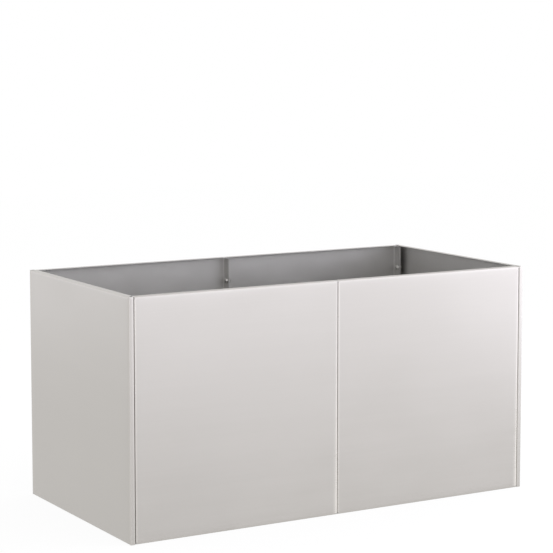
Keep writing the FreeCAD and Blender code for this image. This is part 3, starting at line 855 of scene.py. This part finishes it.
def bolt_shape(reach):
    """Button-head bolt: socket floor, socket, crown, dome, seat, threaded shank, point."""
    head, radius, dome = 2.75, 4.75, 2.2
    top, tip = SEAT - head, SEAT + reach
    key, shank = hexagon_radius(3.0), 2.5
    rows = [(top + 1.9, 0.35), (top + 1.6, 1.3), (top + 1.55, key - 0.05), (top + 0.25, key),
            (top, key + 0.22)]
    rows += arc(top + dome, radius - dome, dome, 180, 90, 10)
    rows += [(SEAT - 0.12, radius), (SEAT, radius - 0.12), (SEAT, shank + 0.25), (SEAT + 0.25, shank - 0.02)]
    x = np.arange(SEAT + 0.45, tip - 0.55, PITCH / 8)
    fade = np.clip((x - x[0]) / PITCH, 0, 1)
    rows += list(zip(x, thread(x, shank, -0.42, fade)))
    rows += [(tip - 0.5, shank - 0.35), (tip - 0.1, shank - 0.72), (tip, shank - 0.82)]
    caps = np.arange(AROUND)[::-1], (len(rows) - 1) * AROUND + np.arange(AROUND)
    return swept(rows), [grid_faces(len(rows), False), np.array(caps)]


def washer_shape():
    """A punched ring: rounded where the punch went in, sharp where it came out."""
    outer, inner = 5.0, BOLT_HOLE
    rows = [(SEAT, inner + 0.15), (SEAT, outer - 0.3), *arc(SEAT + 0.3, outer - 0.3, 0.3, 170, 90, 4),
            (SEAT + 0.92, outer), (SEAT + 1, outer - 0.08), (SEAT + 1, inner + 0.08), (SEAT + 0.92, inner),
            (SEAT + 0.15, inner)]
    return swept(rows), [grid_faces(len(rows), True)]


def nut_shape(seat):
    """Flange nut: threaded bore, underside, flange with a rounded rim, hexagon, turned crown."""
    bore, flange, flats, height = 2.55, 5.9, 8.0, 5.0
    body, end = hexagon_radius(flats), seat + height
    crown = end - (body - flats / 2) / math.sqrt(3)
    rows = [(seat + 0.35, bore), (seat, bore + 0.35), (seat, flange - 0.3)]
    rows += arc(seat + 0.3, flange - 0.3, 0.3, 180, 90, 4)[1:]
    rows += [(seat + 0.75, flange), (seat + 0.95, flange - 0.1), (seat + 1.2, body + 0.25),
             (seat + 1.45, body), (crown, body), (end, flats / 2 - 0.02), (end, bore + 0.35),
             (end - 0.35, bore)]
    x = np.arange(end - 0.5, seat + 0.5, -PITCH / 8)
    fade = np.clip(np.minimum(x[0] - x, x - x[-1]) / PITCH, 0, 1)
    rows += list(zip(x, thread(x, bore, 0.25, fade)))
    return swept(rows), [grid_faces(len(rows), True)]


print("a bolt's seat is %.1f mm from the joint" % -SEAT)

# %% [markdown]
# ## Setting the fasteners
#
# Each seam has its own row of bolts, with the heads on the wall panel's side. No fitter stops a hexagon at
# the same angle twice, so each piece is turned by its own amount about its axis.

# %% Set the fasteners
BOLT_REACH, TIE_BOLT_REACH = 10, 12            # the tie adds a third sheet between head and nut
rng = np.random.default_rng(7)


def set_row(node, shape, spots, half_turn):
    """Copies a turned part to each spot, each copy turned about its own axis by its own angle.

    With c and s its cosine and sine, y becomes c * y - s * z, and z becomes s * y + c * z.
    """
    points, faces = shape
    placed, joined = [], [[] for _ in faces]
    for k, spot in enumerate(spots):
        angle = rng.uniform(0, 2 * math.pi)
        c, s = math.cos(angle), math.sin(angle)
        x, y, z = points.T
        spun = np.column_stack([x, c * y - s * z, s * y + c * z])
        placed.append(turned_about(spun, spot, half_turn))
        for store, f in zip(joined, faces):
            store.append(f + k * len(points))
    everything = np.concatenate(placed)
    piece, _ = write_piece(node, everything, [([np.concatenate(store) for store in joined], fastener)],
                           np.zeros((len(everything), 2)), np.zeros(len(everything)))
    stand_for(piece, node, "fastener_steel")


def set_seam(name, reach, seat, spots, half_turn=False):
    """One seam's bolts, washers and nuts. The bolts reach past their seats, and the nuts sit on seat."""
    set_row(name + "_bolts", bolt_shape(reach), spots, half_turn)
    set_row(name + "_washers", washer_shape(), spots, half_turn)
    set_row(name + "_nuts", nut_shape(seat), spots, half_turn)


for face, y in (("front", -BOLT_LINE), ("back", BOLT_LINE)):
    set_seam(face + "_left_corner", BOLT_REACH, SHEET, [(-HALF_WALL, y, z) for z in BOLT_LEVELS], True)
    set_seam(face + "_middle", BOLT_REACH, SHEET, [(0, y, z) for z in (LOWEST_BOLT, HIGHEST_BOLT)])
    set_seam(face + "_right_corner", BOLT_REACH, SHEET, [(HALF_WALL, y, z) for z in BOLT_LEVELS])
set_seam("tie", TIE_BOLT_REACH, 2 * SHEET, [(0, y, TIE_LEVEL) for y in (-BOLT_LINE, BOLT_LINE)])

# %% [markdown]
# ## Floor and backdrop
#
# A product picture is taken on a white sweep. The floor looks white to the camera and in the steel's
# reflections, through Light Path, and the share that is left over is plain diffuse white, which keeps the
# soft shadow under the box and throws light back up at it.

# %% Make the floor
FLOOR_SIZE = 12.0             # metres
GLOW_SHARE = 0.9              # how much of the floor that is seen or mirrored glows
corners = np.array([(-1, -1, 0), (1, -1, 0), (1, 1, 0), (-1, 1, 0)]) * FLOOR_SIZE / 2
floor_mesh = bpy.data.meshes.new("floor")
floor_mesh.from_pydata(corners.tolist(), [], [(0, 1, 2, 3)])
floor = bpy.data.objects.new("floor", floor_mesh)
bpy.context.scene.collection.objects.link(floor)

sweep, tree = new_finish("white_sweep")
tree.nodes.remove(tree.nodes["Principled BSDF"])
path = add(tree, "ShaderNodeLightPath").outputs
seen = maths(tree, "MAXIMUM", path["Is Camera Ray"], path["Is Glossy Ray"], path["Is Transmission Ray"])
paper = add(tree, "ShaderNodeBsdfDiffuse", {"Color": (0.98, 0.98, 0.98, 1)})
glow = add(tree, "ShaderNodeEmission", {"Color": (1, 1, 1, 1), "Strength": 1.0})
mixed = add(tree, "ShaderNodeMixShader",
            {0: maths(tree, "MULTIPLY", seen, GLOW_SHARE), 1: paper.outputs[0], 2: glow.outputs[0]})
tree.links.new(mixed.outputs[0], tree.nodes["Material Output"].inputs["Surface"])
floor_mesh.materials.append(sweep)
print("floor %.0f m wide, %.0f%% glow" % (FLOOR_SIZE, 100 * GLOW_SHARE))

# %% [markdown]
# ## Light
#
# Steel shows what surrounds it, so the light is set for its reflections. A white room gives the even
# silver. Two soft boxes low at the front right add to it, more at the top of the front than at the bottom,
# where the panels mirror the floor. A weak one at the back does the same for the left end. Two edge boxes
# beyond the ends only catch the bends at the corner and the seams, and a high one draws the bright line
# along the front rim. Their light is a little blue, because in the picture the tops of the panels are a
# cooler silver than the bottoms.

# %% World and lamps
world = bpy.data.worlds.new("white_room")
world.use_nodes = True
backdrop = world.node_tree.nodes["Background"]
backdrop.inputs["Color"].default_value = (1, 1, 1, 1)
backdrop.inputs["Strength"].default_value = 1.0
bpy.context.scene.world = world
AIM = Vector((0, -0.1, 0.2))
COOL_WHITE = (0.87, 0.87, 1.0)


def soft_box(name, azimuth, elevation, distance, wide, tall, glow):
    """An even rectangle of light aimed at the box. Azimuth 0 is in front and 90 is to the right.

    glow is its brightness beside a white sheet's 1, and its power is pi * area * glow.
    """
    across, up = math.radians(azimuth), math.radians(elevation)
    away = Vector((math.sin(across) * math.cos(up), -math.cos(across) * math.cos(up), math.sin(up)))
    lamp = bpy.data.lights.new(name, "AREA")
    lamp.shape, lamp.size, lamp.size_y = "RECTANGLE", wide, tall
    lamp.energy, lamp.color = math.pi * wide * tall * glow, COOL_WHITE
    holder = bpy.data.objects.new(name, lamp)
    holder.location = AIM + away * distance
    holder.rotation_euler = (-away).to_track_quat("-Z", "Y").to_euler()
    holder.visible_camera = False
    bpy.context.scene.collection.objects.link(holder)
    print("%-20s %5.1f W" % (name, lamp.energy))


soft_box("front_soft_box", 15, 6, 2.0, 1.3, 1.1, 1.2)
soft_box("right_soft_box", 55, 6, 2.0, 1.3, 1.1, 1.65)
soft_box("back_left_soft_box", -135, 12, 1.5, 0.9, 0.8, 0.31)
soft_box("left_edge_soft_box", -42, 6, 2.0, 1.4, 1.0, 1.0)
soft_box("right_edge_soft_box", 100, 8, 1.8, 1.4, 0.9, 1.3)
soft_box("high_soft_box", 58, 48, 2.0, 1.2, 1.9, 1.1)

# %% [markdown]
# ## Camera
#
# The picture was taken from the front left with a long lens, a little above the rim. A small downward shift
# keeps the upright edges nearly parallel.

# %% Place the camera
PHOTO_SIZE = 553.0            # pixels
FOCAL_PIXELS = 1906.5         # the distance from the lens to the picture, in its pixels
camera_data = bpy.data.cameras.new("camera")
camera_data.sensor_width = 36.0
camera_data.lens = FOCAL_PIXELS / PHOTO_SIZE * camera_data.sensor_width
camera_data.shift_y = -0.1
camera = bpy.data.objects.new("camera", camera_data)
camera.location = (-1.7383, -2.9504, 0.8417)
yaw, pitch = math.radians(30.45), math.radians(5.78)
sight = Vector((math.sin(yaw) * math.cos(pitch), math.cos(yaw) * math.cos(pitch), -math.sin(pitch)))
camera.rotation_euler = sight.to_track_quat("-Z", "Y").to_euler()
bpy.context.scene.collection.objects.link(camera)
bpy.context.scene.camera = camera
bpy.context.scene.view_settings.view_transform = "Standard"
print("lens %.1f mm" % camera_data.lens)
